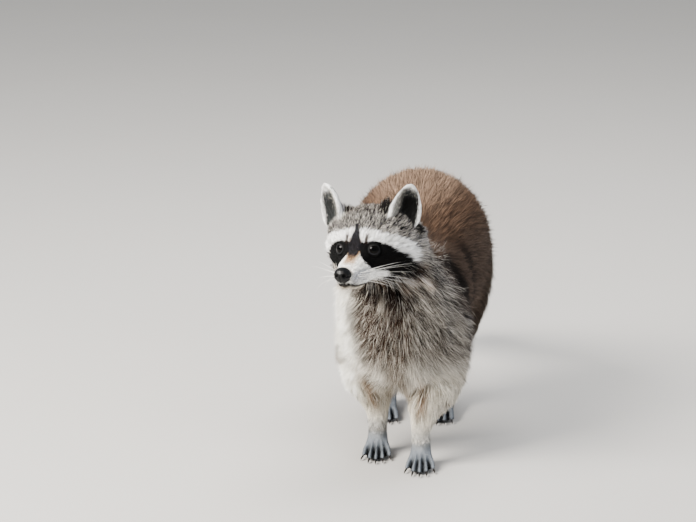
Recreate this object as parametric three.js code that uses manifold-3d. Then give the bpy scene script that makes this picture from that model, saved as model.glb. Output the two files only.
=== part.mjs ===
// A standing raccoon, life size, as a still model. Millimetres, +Z up. It faces -Y, and +X is its left.
// Each solid reaches out to the tips of the coat. The flesh is lofted along curves from named sizes,
// and neighbours are cut back from each other with a thin gap.
import * as THREE from "three";
import { ParametricGeometry } from "three/addons/geometries/ParametricGeometry.js";
import { mergeVertices } from "three/addons/utils/BufferGeometryUtils.js";
import Module from "manifold-3d";

const wasm = await Module();
wasm.setup();

// ---- driving sizes ----
const GAP = 0.3; // between neighbouring solids
const REACH = 2000; // larger than the animal, for boxes that keep one side of a cut
const UP = new THREE.Vector3(0, 0, 1);
const FRONT = new THREE.Vector3(0, -1, 0);
const SIDES = [
  { name: "left", side: 1 },
  { name: "right", side: -1 },
];

// The trunk from the breast to the rump: centre of each ring, half its width, and its reach up and down.
const TRUNK = [
  { at: [-5, -8, 184], wide: 58, up: 56, down: 66 },
  { at: [-3, 20, 185], wide: 70, up: 66, down: 78 },
  { at: [-1, 56, 186], wide: 76, up: 78, down: 82 },
  { at: [0, 104, 190], wide: 79, up: 92, down: 86 },
  { at: [0, 164, 198], wide: 85, up: 106, down: 94 },
  { at: [0, 226, 206], wide: 94, up: 110, down: 98 },
  { at: [0, 286, 210], wide: 93, up: 103, down: 92 },
  { at: [0, 340, 214], wide: 77, up: 82, down: 80 },
  { at: [0, 380, 218], wide: 57, up: 58, down: 62 },
  { at: [0, 412, 216], wide: 42, up: 40, down: 44 },
];
const TRUNK_DOMES = [0.1, 0.08];
const CHEST_END = 92; // where the breast gives way to the belly
const BELLY_END = 222; // where the belly gives way to the rump

// The neck runs from between the shoulders into the back of the head.
const NECK = [
  { at: [-2, 126, 206], wide: 66, up: 66, down: 62 },
  { at: [-6, 88, 216], wide: 70, up: 64, down: 66 },
  { at: [-12, 50, 228], wide: 73, up: 58, down: 68 },
  { at: [-21, 16, 238], wide: 71, up: 49, down: 66 },
  { at: [-30, -14, 245], wide: 56, up: 36, down: 58 },
];
const NECK_BASE = { at: [-12, 40, 222], facing: [-0.2, -0.62, 0.75] }; // the plane where it leaves the trunk

// The breast hangs from the throat down between the forelegs. Each ring has its centre, half its width,
// and its reach to the front and the back.
const BREAST = [
  { at: [-27, 8, 262], wide: 42, up: 32, down: 40 },
  { at: [-21, 12, 236], wide: 63, up: 49, down: 40 },
  { at: [-12, 18, 204], wide: 73, up: 60, down: 40 },
  { at: [-6, 24, 170], wide: 75, up: 60, down: 40 },
  { at: [-4, 32, 138], wide: 67, up: 52, down: 40 },
  { at: [-4, 42, 112], wide: 50, up: 38, down: 40 },
  { at: [-4, 52, 94], wide: 30, up: 24, down: 30 },
];

const TAIL = [
  { at: [0, 362, 236], wide: 30, up: 28, down: 30 },
  { at: [-2, 402, 216], wide: 36, up: 35, down: 36 },
  { at: [-5, 440, 185], wide: 40, up: 39, down: 40 },
  { at: [-8, 476, 148], wide: 42, up: 41, down: 42 },
  { at: [-11, 518, 112], wide: 43, up: 42, down: 43 },
  { at: [-15, 568, 88], wide: 40, up: 40, down: 41 },
  { at: [-20, 622, 78], wide: 30, up: 30, down: 31 },
];
const TAIL_LENGTHS = 4;

// Each leg is set out by where its top and its foot stand. lean is how far a ring has moved from one
// to the other, and bend how far it lies behind that line.
const FORELEG = {
  rings: [
    { z: 216, lean: 0, bend: 0, wide: 20, front: 38, back: 40 },
    { z: 184, lean: 0, bend: 0, wide: 31, front: 46, back: 48 },
    { z: 150, lean: 0.05, bend: 2, wide: 37, front: 46, back: 48 },
    { z: 118, lean: 0.28, bend: 5, wide: 40, front: 42, back: 46 },
    { z: 94, lean: 0.55, bend: 5, wide: 38, front: 34, back: 42 },
    { z: 76, lean: 0.78, bend: 3, wide: 31, front: 25, back: 34 },
    { z: 63, lean: 0.92, bend: 1, wide: 20, front: 17, back: 23 },
    { z: 50, lean: 1, bend: 0, wide: 13, front: 13.5, back: 16 },
    { z: 36, lean: 1, bend: 0, wide: 11.5, front: 12, back: 13 },
    { z: 20, lean: 1, bend: 0, wide: 12, front: 13, back: 12 },
  ],
  left: { top: [50, 56], foot: [24, 8] },
  right: { top: [-51, 58], foot: [-33, 62] },
  knee: 112, // height of the elbow
  ankle: 30, // height of the wrist
  count: 12,
};
const HINDLEG = {
  rings: [
    { z: 250, lean: 0, bend: 4, wide: 30, front: 52, back: 56 },
    { z: 210, lean: 0, bend: 0, wide: 41.5, front: 70, back: 66 },
    { z: 170, lean: 0.04, bend: -5, wide: 41, front: 68, back: 64 },
    { z: 134, lean: 0.18, bend: -10, wide: 36, front: 55, back: 54 },
    { z: 102, lean: 0.45, bend: -4, wide: 27, front: 34, back: 40 },
    { z: 74, lean: 0.78, bend: 4, wide: 19, front: 23, back: 28 },
    { z: 50, lean: 1, bend: 4, wide: 14, front: 17, back: 18 },
    { z: 28, lean: 1, bend: 1, wide: 13, front: 17, back: 14 },
    { z: 12, lean: 1, bend: 0, wide: 12, front: 16, back: 12 },
  ],
  left: { top: [55, 268], foot: [31, 294] },
  right: { top: [-55, 268], foot: [-43, 290] },
  knee: 124,
  ankle: 32,
  count: 12,
};

// Each foot in its own frame: its toes point to -Y and its sole lies on z = 0.
// The sole is a loft from the heel to the knuckles. A toe runs from its knuckle to its tip.
const FOREPAW = {
  sole: [
    { at: [0, 12, 17], wide: 12.5, up: 17, down: 17.4 },
    { at: [0, 2, 16], wide: 13, up: 15, down: 16.8 },
    { at: [0, -10, 13], wide: 14.5, up: 12, down: 13.6 },
    { at: [0, -22, 11], wide: 14.5, up: 8, down: 11.4 },
  ],
  knuckle: { y: -19, z: 11.5, spread: 23, bow: 7, thick: 4.4 },
  tip: { y: -53, z: 3.6, spread: 33, bow: 17, thick: 3.2 },
  yaw: { left: 3, right: 3 },
};
const HINDPAW = {
  sole: [
    { at: [0, 14, 13], wide: 12, up: 14, down: 13 },
    { at: [0, -8, 12.5], wide: 13, up: 15, down: 12.5 },
    { at: [0, -34, 11.5], wide: 14.5, up: 12, down: 11.5 },
    { at: [0, -60, 9.5], wide: 15.5, up: 8, down: 9.5 },
    { at: [0, -72, 8.5], wide: 14, up: 6, down: 8.5 },
  ],
  knuckle: { y: -67, z: 9.5, spread: 25, bow: 6, thick: 4.6 },
  tip: { y: -97, z: 3.8, spread: 34, bow: 9, thick: 3.6 },
  yaw: { left: -2, right: 2 },
};
const TOES = 5;
const CLAW = { length: 9, thick: 2, drop: 3.2 };
const SOLE_FLAT = 0.8; // how much of each pad is worn to the flat that it stands on

// The head in its own frame: the origin is the front of the nose and the face looks to -Y.
const HEAD_AT = [-58, -115, 257];
const HEAD_TURN = { x: 0, y: -3, z: -15.2 }; // degrees
const SKULL = [
  { at: [0, 44, 3], wide: 15, up: 13, down: 20 },
  { at: [0, 54, 6], wide: 24, up: 22, down: 27 },
  { at: [0, 63, 9], wide: 34, up: 30.5, down: 33 },
  { at: [0, 74, 12], wide: 45, up: 39, down: 38 },
  { at: [0, 88, 14], wide: 55.5, up: 46.5, down: 43 },
  { at: [0, 104, 15], wide: 61.5, up: 50, down: 46 },
  { at: [0, 122, 12], wide: 65, up: 50, down: 47 },
  { at: [0, 140, 8], wide: 62, up: 44, down: 47 },
  { at: [0, 156, 4], wide: 50, up: 34, down: 41 },
];
const MUZZLE = [
  { at: [0, 3, -3], wide: 10.5, up: 8.5, down: 10 },
  { at: [0, 14, -4], wide: 13.5, up: 12.5, down: 15 },
  { at: [0, 28, -3], wide: 16.5, up: 16, down: 20 },
  { at: [0, 44, -1], wide: 20.5, up: 20, down: 23.5 },
  { at: [0, 60, 2], wide: 24, up: 23, down: 25 },
];
const MUZZLE_END = 44;
const JAW_END = 60;
const MOUTH = [
  [-6, -10],
  [8, -12.5],
  [26, -17],
  [44, -19.5],
  [62, -17],
]; // the mouth's line seen from the side, as y and z
const NOSE = { at: [0, 7, 0], wide: 9.6, deep: 8, high: 8.4 };
const NOSTRIL = { x: 4.6, y: 0.6, z: -1.2, wide: 2.1, deep: 3, high: 1.6 };
const EYE = { at: [18.8, 57, 19.4], radius: 8.2 };
const EAR = {
  at: { left: [46, 99, 61], right: [-50.5, 99, 61] }, // middle of the cup
  wide: 19,
  deep: 12,
  high: 29,
  taper: 0.3, // how much narrower the tip is than the middle, and how much wider the base
  thick: 3.6,
  rim: 1, // how far the rim's plane lies in front of the cup's middle
  back: -6, // degrees that it leans back
  out: { left: 17, right: 27 }, // degrees that its tip leans outwards
  facing: 33, // degrees that its cup faces outwards
};

// ---- shapes ----
const radians = THREE.MathUtils.degToRad;
const { lerp } = THREE.MathUtils;
const vector = (values) => new THREE.Vector3(...values);

// A closed tube of ovals along a smooth curve. Its ends are flat, or domed over a share of the length.
// front is the side that a ring's up reaches to.
function loft(rings, { around = 16, along = 12, domes = [0, 0], front = UP, grow = 0, from = 0, to = 1 }) {
  const centre = new THREE.CatmullRomCurve3(rings.map((r) => vector(r.at)), false, "catmullrom", 0.5);
  const sizes = rings.map((r) => new THREE.Vector3(r.wide, r.up, r.down));
  const size = new THREE.CatmullRomCurve3(sizes, false, "catmullrom", 0.5);
  const dome = (share, extent) => (share < extent ? Math.sqrt(1 - (1 - share / extent) ** 2) : 1);
  const point = (u, v, target) => {
    const step = THREE.MathUtils.clamp((u * (along + 2) - 1) / along, 0, 1);
    const eased = domes[0] || domes[1] ? 0.5 - 0.5 * Math.cos(Math.PI * step) : step;
    const share = 0.35 * step + 0.65 * eased;
    const t = from + (to - from) * (domes[0] || domes[1] ? share : step);
    const tangent = centre.getTangent(t);
    const side = new THREE.Vector3().crossVectors(tangent, front).normalize();
    const face = new THREE.Vector3().crossVectors(side, tangent).normalize();
    const [wide, up, down] = size.getPoint(t).toArray();
    const closed = u === 0 || u === 1 ? 0 : 1;
    const swell = closed * dome(t, domes[0]) * dome(1 - t, domes[1]);
    const angle = 2 * Math.PI * v;
    const reach = Math.sin(angle) > 0 ? up : down;
    target.copy(centre.getPoint(t));
    target.addScaledVector(side, swell * (wide + grow) * Math.cos(angle));
    target.addScaledVector(face, swell * (reach + grow) * Math.sin(angle));
    const overshoot = u === 0 ? -grow : u === 1 ? grow : 0;
    target.addScaledVector(tangent, overshoot);
  };
  return solid(new ParametricGeometry(point, around, along + 2));
}

function solid(geometry) {
  const bare = geometry.index ? geometry.toNonIndexed() : geometry.clone();
  for (const name of Object.keys(bare.attributes)) {
    if (name !== "position") bare.deleteAttribute(name);
  }
  const merged = mergeVertices(bare, 1e-3);
  const index = [];
  for (let i = 0; i < merged.index.count; i += 3) {
    const [a, b, c] = [0, 1, 2].map((k) => merged.index.getX(i + k));
    if (a !== b && b !== c && c !== a) index.push(a, b, c);
  }
  const made = (triVerts) =>
    new wasm.Manifold(
      new wasm.Mesh({ numProp: 3, vertProperties: merged.attributes.position.array, triVerts }),
    );
  const first = made(new Uint32Array(index));
  return first.volume() > 0 ? first : made(new Uint32Array(index).reverse());
}

function ellipsoid([x, y, z], wide, deep, high, around = 20) {
  const ball = new THREE.SphereGeometry(1, around, Math.round(around * 0.6));
  return solid(ball.rotateX(Math.PI / 2).scale(wide, deep, high).translate(x, y, z));
}

// The part of a solid that lies between two planes across an axis.
function between(shape, axis, low, high) {
  const size = [2 * REACH, 2 * REACH, 2 * REACH];
  const middle = [0, 0, 0];
  size[axis] = high - low;
  middle[axis] = (low + high) / 2;
  return shape.intersect(solid(new THREE.BoxGeometry(...size).translate(...middle)));
}

function largest(shape) {
  return shape.decompose().reduce((a, b) => (a.volume() > b.volume() ? a : b));
}

function mesh(name, shape, material) {
  const { numProp, vertProperties, triVerts } = largest(shape).getMesh();
  const position = new THREE.BufferAttribute(new Float32Array(vertProperties), numProp);
  const geometry = new THREE.BufferGeometry().setAttribute("position", position);
  geometry.setIndex(new THREE.BufferAttribute(triVerts, 1));
  geometry.computeVertexNormals();
  const made = new THREE.Mesh(geometry, material);
  made.name = name;
  return made;
}

const finish = (color, roughness) => new THREE.MeshStandardMaterial({ color, roughness, metalness: 0 });
const MATERIALS = {
  back: finish(0x6b523f, 0.9),
  breast: finish(0x9b9084, 0.9),
  head: finish(0x77716a, 0.85),
  muzzle: finish(0xe6e1d8, 0.8),
  leg: finish(0xc9c0b0, 0.9),
  foot: finish(0x9c9a99, 0.7),
  tail: finish(0x5a4a3c, 0.9),
  ear: finish(0xd9d5cc, 0.85),
  eye: finish(0x120c09, 0.08),
  nose: finish(0x14141a, 0.35),
  claw: finish(0x4b433c, 0.4),
};

// ---- head ----
const headGroup = new THREE.Group();
headGroup.position.set(...HEAD_AT);
headGroup.rotation.set(radians(HEAD_TURN.x), radians(HEAD_TURN.y), radians(HEAD_TURN.z), "ZXY");
headGroup.updateMatrix();

const moved = (shape, matrix) => shape.transform(matrix.elements);

// What is already taken: each flesh is cut back from the grown shapes of the flesh before it.
const taken = [];

function claim(shape, grown) {
  const free = taken.reduce((left, other) => left.subtract(other), shape);
  taken.push(grown);
  return free;
}

function headFlesh(grow = 0) {
  const skull = loft(SKULL, { around: 18, along: 12, domes: [0, 0.18], grow });
  return skull.add(loft(MUZZLE, { around: 18, along: 7, domes: [0.12, 0], grow }));
}

// A sheet of the mouth's line, or of all that lies under it.
function underMouth(lift, thickness) {
  const outline = new THREE.Shape();
  const line = new THREE.SplineCurve(MOUTH.map(([y, z]) => new THREE.Vector2(y, z + lift)));
  const points = line.getPoints(6);
  outline.moveTo(points[0].x, points[0].y - thickness);
  points.forEach((p) => outline.lineTo(p.x, p.y));
  outline.lineTo(points.at(-1).x, points.at(-1).y - thickness);
  const sheet = new THREE.ExtrudeGeometry(outline, { depth: 2 * REACH, bevelEnabled: false });
  return solid(sheet.translate(0, 0, -REACH).rotateY(Math.PI / 2).rotateX(Math.PI / 2));
}

function addEyes(flesh) {
  for (const { name, side } of SIDES) {
    const [x, y, z] = EYE.at;
    const ball = new THREE.SphereGeometry(EYE.radius, 12, 8).rotateX(Math.PI / 2);
    const eye = new THREE.Mesh(ball, MATERIALS.eye);
    eye.name = `eye_${name}`;
    eye.position.set(side * x, y, z);
    headGroup.add(eye);
    const socket = EYE.radius + GAP;
    flesh = flesh.subtract(ellipsoid([side * x, y, z], socket, socket, socket, 12));
  }
  return flesh;
}

function addNose(flesh) {
  let nose = ellipsoid(NOSE.at, NOSE.wide, NOSE.deep, NOSE.high, 12);
  for (const { side } of SIDES) {
    const { x, y, z, wide, deep, high } = NOSTRIL;
    nose = nose.subtract(ellipsoid([side * x, y, z], wide, deep, high, 6));
  }
  headGroup.add(mesh("nose", nose, MATERIALS.nose));
  return flesh.subtract(ellipsoid(NOSE.at, NOSE.wide + GAP, NOSE.deep + GAP, NOSE.high + GAP, 12));
}

// An ellipsoid that narrows towards the ear's tip.
function earBlock(wide, deep, high, around) {
  const point = (u, v, target) => {
    const level = -Math.cos(Math.PI * v);
    const ring = Math.sin(Math.PI * v) * (v > 0 && v < 1 ? 1 : 0);
    const angle = 2 * Math.PI * u;
    const narrow = 1 - EAR.taper * level;
    target.set(wide * ring * narrow * Math.cos(angle), deep * ring * Math.sin(angle), high * level);
  };
  return solid(new ParametricGeometry(point, around, Math.round(around * 0.6)));
}

function addEars(flesh) {
  const { at, wide, deep, high, thick, rim, back, out, facing } = EAR;
  const cup = earBlock(wide, deep, high, 14);
  const hollow = earBlock(wide - thick, deep - thick * 0.6, high - thick, 12).translate(0, -thick * 0.6, 0);
  const shell = between(cup.subtract(hollow), 1, -rim, REACH);
  for (const { name, side } of SIDES) {
    const place = new THREE.Matrix4().makeRotationFromEuler(
      new THREE.Euler(radians(back), radians(side * out[name]), radians(side * facing), "ZYX"),
    );
    place.setPosition(...at[name]);
    const ear = moved(shell, place).subtract(flesh);
    headGroup.add(mesh(`ear_${name}`, ear, MATERIALS.ear));
  }
}

function addHead() {
  addEars(headFlesh(GAP));
  const flesh = addNose(addEyes(headFlesh()));
  const jaw = between(flesh, 1, -REACH, JAW_END).intersect(underMouth(-GAP, REACH));
  const upper = flesh.subtract(between(underMouth(GAP, REACH), 1, -REACH, JAW_END + GAP));
  headGroup.add(mesh("lower_jaw", jaw, MATERIALS.muzzle));
  headGroup.add(mesh("muzzle", between(upper, 1, -REACH, MUZZLE_END), MATERIALS.muzzle));
  headGroup.add(mesh("head", between(upper, 1, MUZZLE_END + GAP, REACH), MATERIALS.head));
  taken.push(moved(headFlesh(GAP), headGroup.matrix));
  animal.add(headGroup);
}

// ---- trunk, neck and tail ----
// The trunk, the breast and the neck as one solid.
function body(grow) {
  const trunk = loft(TRUNK, { around: 24, along: 16, domes: TRUNK_DOMES, grow });
  const breast = loft(BREAST, { around: 20, along: 8, domes: [0.1, 0.14], front: FRONT, grow });
  const neck = loft(NECK, { around: 20, along: 5, domes: [0.1, 0.2], grow });
  return trunk.add(breast).add(neck);
}

function addBody() {
  const whole = claim(body(0), body(GAP));
  const facing = vector(NECK_BASE.facing).normalize();
  const level = facing.dot(vector(NECK_BASE.at));
  const neck = between(whole.trimByPlane(facing.toArray(), level + GAP / 2), 1, -REACH, CHEST_END - GAP / 2);
  const rest = whole.trimByPlane(facing.clone().negate().toArray(), GAP / 2 - level);
  animal.add(mesh("neck", neck, MATERIALS.breast));
  const cuts = [-REACH, CHEST_END, BELLY_END, REACH];
  ["chest", "belly", "rump"].forEach((name, i) => {
    const source = name === "chest" ? rest : whole;
    const length = between(source, 1, cuts[i] + GAP / 2, cuts[i + 1] - GAP / 2);
    animal.add(mesh(name, length, name === "chest" ? MATERIALS.breast : MATERIALS.back));
  });
}

function addTail() {
  for (let i = 0; i < TAIL_LENGTHS; i++) {
    const from = i / TAIL_LENGTHS + (i ? 0.0006 : 0);
    const last = i === TAIL_LENGTHS - 1;
    const domes = [0, last ? 0.12 : 0];
    const length = loft(TAIL, { around: 16, along: last ? 6 : 3, domes, from, to: (i + 1) / TAIL_LENGTHS });
    animal.add(mesh(`tail_${i + 1}`, length.subtract(body(GAP)), MATERIALS.tail));
  }
}

// ---- legs and feet ----
function legFlesh(leg, sideName, grow = 0) {
  const { top, foot } = leg[sideName];
  const rings = leg.rings.map(({ z, lean, bend, wide, front, back }) => ({
    at: [lerp(top[0], foot[0], lean), lerp(top[1], foot[1], lean) + bend, z],
    wide,
    up: front,
    down: back,
  }));
  return loft(rings, { around: leg.count, along: 9, domes: [0.08, 0], front: FRONT, grow });
}

function addLeg(end, leg, sideName) {
  const flesh = claim(legFlesh(leg, sideName), legFlesh(leg, sideName, GAP));
  const upper = between(flesh, 2, leg.knee + GAP / 2, REACH);
  const lower = between(flesh, 2, leg.ankle + GAP / 2, leg.knee - GAP / 2);
  animal.add(mesh(`${end}leg_upper_${sideName}`, upper, MATERIALS.leg));
  animal.add(mesh(`${end}leg_lower_${sideName}`, lower, MATERIALS.leg));
}

// Where a toe's knuckle or tip lies: share runs from -1 on the inner side to 1 on the outer.
function toeEnd({ y, z, spread, bow, thick }, share) {
  return { at: [(spread / 2) * share, y + bow * share * share, z], wide: thick, up: thick, down: thick };
}

function toeRings(paw, share) {
  const [knuckle, tip] = [toeEnd(paw.knuckle, share), toeEnd(paw.tip, share)];
  const root = { ...knuckle, at: [knuckle.at[0] * 0.8, knuckle.at[1] + 8, knuckle.at[2]] };
  const middle = vector(knuckle.at).lerp(vector(tip.at), 0.5);
  const joint = { ...tip, at: [middle.x, middle.y, middle.z + 1.6] };
  return [root, knuckle, joint, tip];
}

function clawSolid(paw, share) {
  const [, , joint, tip] = toeRings(paw, share);
  const along = vector(tip.at).sub(vector(joint.at)).setZ(0).normalize();
  const ring = (reach, drop, thick) => ({
    at: vector(tip.at).addScaledVector(along, reach).add(new THREE.Vector3(0, 0, 1.2 - drop)).toArray(),
    wide: thick * 0.7,
    up: thick,
    down: thick,
  });
  const rings = [
    ring(-1, 0, CLAW.thick),
    ring(CLAW.length * 0.4, CLAW.drop * 0.15, CLAW.thick * 0.85),
    ring(CLAW.length * 0.75, CLAW.drop * 0.5, CLAW.thick * 0.5),
    ring(CLAW.length, CLAW.drop * 1.0, CLAW.thick * 0.15),
  ];
  return loft(rings, { around: 4, along: 2, domes: [0, 0.06] });
}

function addFoot(end, leg, paw, sideName) {
  const group = new THREE.Group();
  const [x, y] = leg[sideName].foot;
  group.position.set(x, y, 0);
  group.rotation.z = radians(paw.yaw[sideName]);
  let flesh = loft(paw.sole, { around: 10, along: 5, domes: [0.16, 0.16] });
  const shares = Array.from({ length: TOES }, (_, i) => -1 + (2 * i) / (TOES - 1));
  for (const share of shares) {
    flesh = flesh.add(loft(toeRings(paw, share), { around: 6, along: 3, domes: [0, 0.12] }));
  }
  // The leg's last stretch goes with the foot, down into the sole.
  group.updateMatrix();
  const ankle = between(legFlesh(leg, sideName), 2, SOLE_FLAT, leg.ankle - GAP / 2);
  flesh = between(flesh, 2, -REACH, leg.ankle - GAP / 2).add(moved(ankle, group.matrix.clone().invert()));
  shares.forEach((share, i) => {
    const claw = clawSolid(paw, share);
    const toe = loft(toeRings(paw, share), { around: 6, along: 3, domes: [0, 0.12], grow: GAP });
    group.add(mesh(`claw_${end}_${sideName}_${i + 1}`, claw.subtract(toe), MATERIALS.claw));
  });
  const standing = between(flesh, 2, SOLE_FLAT, REACH);
  group.add(mesh(`${end}foot_${sideName}`, standing, MATERIALS.foot));
  animal.add(group);
}

// ---- the whole animal ----
const animal = new THREE.Group();
addHead();
addBody();
addTail();
for (const { name } of SIDES) {
  addLeg("fore", FORELEG, name);
  addLeg("hind", HINDLEG, name);
  addFoot("fore", FORELEG, FOREPAW, name);
  addFoot("hind", HINDLEG, HINDPAW, name);
}

// The origin is under the middle of the animal, on the floor.
const raccoon = new THREE.Group();
raccoon.add(animal);
raccoon.updateMatrixWorld(true);
const box = new THREE.Box3().setFromObject(raccoon, true);
const middle = box.getCenter(new THREE.Vector3());
animal.position.set(-middle.x, -middle.y, -box.min.z);

export default raccoon;
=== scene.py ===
"""A raccoon standing on a pale studio floor: one skin under a coat of mesh hairs, with eyes, nose, claws
and whiskers of their own. Lengths are in metres, and MM turns a size in millimetres into metres."""

import math
from typing import NamedTuple

import bmesh
import bpy
import numpy as np
from mathutils import Matrix, Vector
from mathutils.bvhtree import BVHTree
from mathutils.kdtree import KDTree


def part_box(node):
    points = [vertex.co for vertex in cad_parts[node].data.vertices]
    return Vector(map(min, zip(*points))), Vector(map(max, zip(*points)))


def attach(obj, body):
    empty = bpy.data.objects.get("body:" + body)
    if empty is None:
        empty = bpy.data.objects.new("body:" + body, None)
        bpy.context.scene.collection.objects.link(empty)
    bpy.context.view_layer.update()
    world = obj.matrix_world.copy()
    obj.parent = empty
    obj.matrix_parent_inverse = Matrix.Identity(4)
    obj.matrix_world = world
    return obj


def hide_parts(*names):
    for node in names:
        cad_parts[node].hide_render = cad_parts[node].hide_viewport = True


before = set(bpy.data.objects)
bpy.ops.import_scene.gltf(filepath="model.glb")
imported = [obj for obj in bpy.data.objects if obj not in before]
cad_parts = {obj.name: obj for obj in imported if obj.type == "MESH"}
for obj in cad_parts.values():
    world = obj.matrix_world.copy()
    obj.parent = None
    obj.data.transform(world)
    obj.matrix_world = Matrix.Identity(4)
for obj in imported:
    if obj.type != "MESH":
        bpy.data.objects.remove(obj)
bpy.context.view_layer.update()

# ---- driving sizes ----
MM = 0.001
SENSOR = 36.0  # mm
CAMERA_FROM_NOSE = Vector((0.504, -4.746, 1.074))
CAMERA_TURN = 6.0  # degrees round the animal, from straight in front
CAMERA_RISE = 12.5  # degrees above level
LENS = 219.83  # mm
FLOOR_TONE = "#b2afab"
FLOOR_SIZE = 80.0

VOXEL = 1.7 * MM  # size of the skin's first faces
SEAM_SWELL = 0.45 * MM  # closes the thin cuts between the solids
SKIN_TRIANGLES = 170_000
SMOOTH_ROUNDS = 110
TRUNK = ("chest", "belly", "rump")
FEET = ("forefoot", "hindfoot")
TAIL = ("tail_1", "tail_2", "tail_3", "tail_4")
SIDES = {"left": 1, "right": -1}

EYE_RISE = math.atan2(19.4, 50)  # slope from the nose up to the eyes, in the head's own frame
NOSE_AT = Vector((0, 7, 0)) * MM  # middle of the nose in the head's frame
EYE_BALL = 8.2 * MM
EYE_GAZE = (0.42, -0.9, 0.1)  # where an eye looks and its lids open, in the head's frame with x outwards
LID_GAZE = (0.5, -0.84, 0.19)
EAR_FACING = 33.0  # degrees that an ear's hollow turns outwards
EAR_OUT = {"left": 17.0, "right": 27.0}  # degrees that an ear leans outwards

rng = np.random.default_rng(11)


class Coat(NamedTuple):
    """How the hair grows on one part. Sizes are in millimetres and wander in degrees. Soften, from 0 to 1,
    is how far the solid's facets are smoothed away, and wisps is the share of hairs that stand proud."""

    depth: float
    length: float
    width: float
    clump: float
    wander: float = 10.0
    soften: float = 1.0
    wisps: float = 0.06


# Depth, length, width and clump come first.
COATS = {
    "head": Coat(5, 15, 0.3, 3.5, wander=7, soften=0.25, wisps=0.05),
    "muzzle": Coat(1.2, 4.5, 0.24, 1.5, wander=5, soften=0.08, wisps=0),
    "lower_jaw": Coat(1.2, 5, 0.24, 1.5, wander=5, soften=0.08, wisps=0),
    "ear": Coat(0.75, 5, 0.28, 2, wander=7, soften=0.03, wisps=0.03),
    "neck": Coat(15, 36, 0.38, 5, wander=14, soften=0.9, wisps=0.12),
    "chest": Coat(17, 44, 0.4, 6, wander=16, wisps=0.2),
    "belly": Coat(17, 34, 0.46, 3.5),
    "rump": Coat(18, 36, 0.46, 3.5),
    "foreleg_upper": Coat(14, 42, 0.38, 7, wander=17, soften=0.9, wisps=0.3),
    "foreleg_lower": Coat(10, 34, 0.36, 5, wander=15, soften=0.4, wisps=0.3),
    "hindleg_upper": Coat(14, 36, 0.5, 6, soften=0.9),
    "hindleg_lower": Coat(9, 24, 0.42, 5, soften=0.5),
    "forefoot": Coat(0.6, 3.2, 0.2, 1.5, wander=5, soften=0.04, wisps=0),
    "hindfoot": Coat(0.6, 3.2, 0.22, 1.5, wander=5, soften=0.04, wisps=0),
    "tail": Coat(13, 22, 0.44, 3.5, wander=7, soften=0.8),
}


# ---- small helpers ----
def ramp(value, low, high):
    """0 below low, 1 above high, and smooth between."""
    t = np.clip((value - low) / (high - low), 0, 1)
    return t * t * (3 - 2 * t)


def fall(value, low, high):
    """1 below low, 0 above high, and smooth between."""
    return 1 - ramp(value, low, high)


def between(value, low, high, edge):
    """1 from low to high, fading out over edge beyond each."""
    return ramp(value, low - edge, low) * fall(value, high, high + edge)


def blob(points, middle, size):
    """1 at middle, fading to 0 at size away from it, which may differ along each axis."""
    away = np.linalg.norm((points - np.array(middle)) / np.array(size), axis=1)
    return fall(away, 0.45, 1.0)


def unit(vectors):
    return vectors / np.maximum(np.linalg.norm(vectors, axis=-1, keepdims=True), 1e-12)


def columns(*parts):
    """Arrays and plain numbers as the columns of one array."""
    return np.stack(np.broadcast_arrays(*parts), 1)


def dot(a, b):
    return (a * b).sum(-1, keepdims=True)


def tone(code):
    """A colour written as #rrggbb, as linear red, green and blue."""
    parts = np.array([int(code[i : i + 2], 16) / 255 for i in (1, 3, 5)])
    return np.where(parts <= 0.04045, parts / 12.92, ((parts + 0.055) / 1.055) ** 2.4)


def kind_of(node):
    """The coat that a solid wears: its name without the side, or tail for each length of the tail."""
    if node in TAIL:
        return "tail"
    return node.replace("_left", "").replace("_right", "")


FLESH = [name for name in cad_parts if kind_of(name) in COATS]


def box_centre(node):
    low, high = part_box(node)
    return (low + high) / 2


def welded(node):
    """A solid as an editable mesh whose faces share their corners."""
    solid = bmesh.new()
    solid.from_mesh(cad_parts[node].data)
    bmesh.ops.remove_doubles(solid, verts=solid.verts, dist=1e-6)
    return solid


def linked(name, data):
    """A new object of the data, in the scene."""
    thing = bpy.data.objects.new(name, data)
    bpy.context.scene.collection.objects.link(thing)
    return thing


# ---- the head's own frame: from the nose, x to its left, y backwards, z up ----
def head_frame():
    nose = box_centre("nose")
    left = box_centre("eye_left")
    right = box_centre("eye_right")
    across = (left - right).normalized()
    slope = ((left + right) / 2 - nose).normalized()
    slope = (slope - across * slope.dot(across)).normalized()
    back = Matrix.Rotation(-EYE_RISE, 3, across) @ slope
    turn = Matrix((across, back, across.cross(back))).transposed()
    return np.array(nose - turn @ NOSE_AT), np.array(turn)


HEAD_ORIGIN, HEAD_TURN = head_frame()


def to_head(points):
    """Points in the head's own frame, in millimetres."""
    return (points - HEAD_ORIGIN) @ HEAD_TURN / MM


def from_head(points):
    """The reverse: where points of the head's own frame lie in the scene."""
    return HEAD_ORIGIN + points @ HEAD_TURN.T * MM


def facing_out(side, way):
    """A direction in the scene, from one in the head's frame whose x points outwards."""
    return HEAD_TURN @ unit(np.array(way) * (side, 1, 1))


def ear_frame(name):
    """The ear's middle, and its own axes: across, away from the hollow, and up to the tip."""
    side = SIDES[name]
    turn = Matrix.Rotation(math.radians(side * EAR_FACING), 3, "Z")
    turn = turn @ Matrix.Rotation(math.radians(side * EAR_OUT[name]), 3, "Y")
    return np.array(box_centre("ear_" + name)), HEAD_TURN @ np.array(turn)


# ---- the body's surface as arrays ----
def rows_of(items, field, width, kind=float):
    """One field of a mesh's items, as the rows of an array."""
    flat = np.empty(len(items) * width, kind)
    items.foreach_get(field, flat)
    return flat.reshape(-1, width)


def put(items, field, values):
    """Writes an array over one field of a mesh's items."""
    items.foreach_set(field, np.ascontiguousarray(values, np.float32).ravel())


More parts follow.
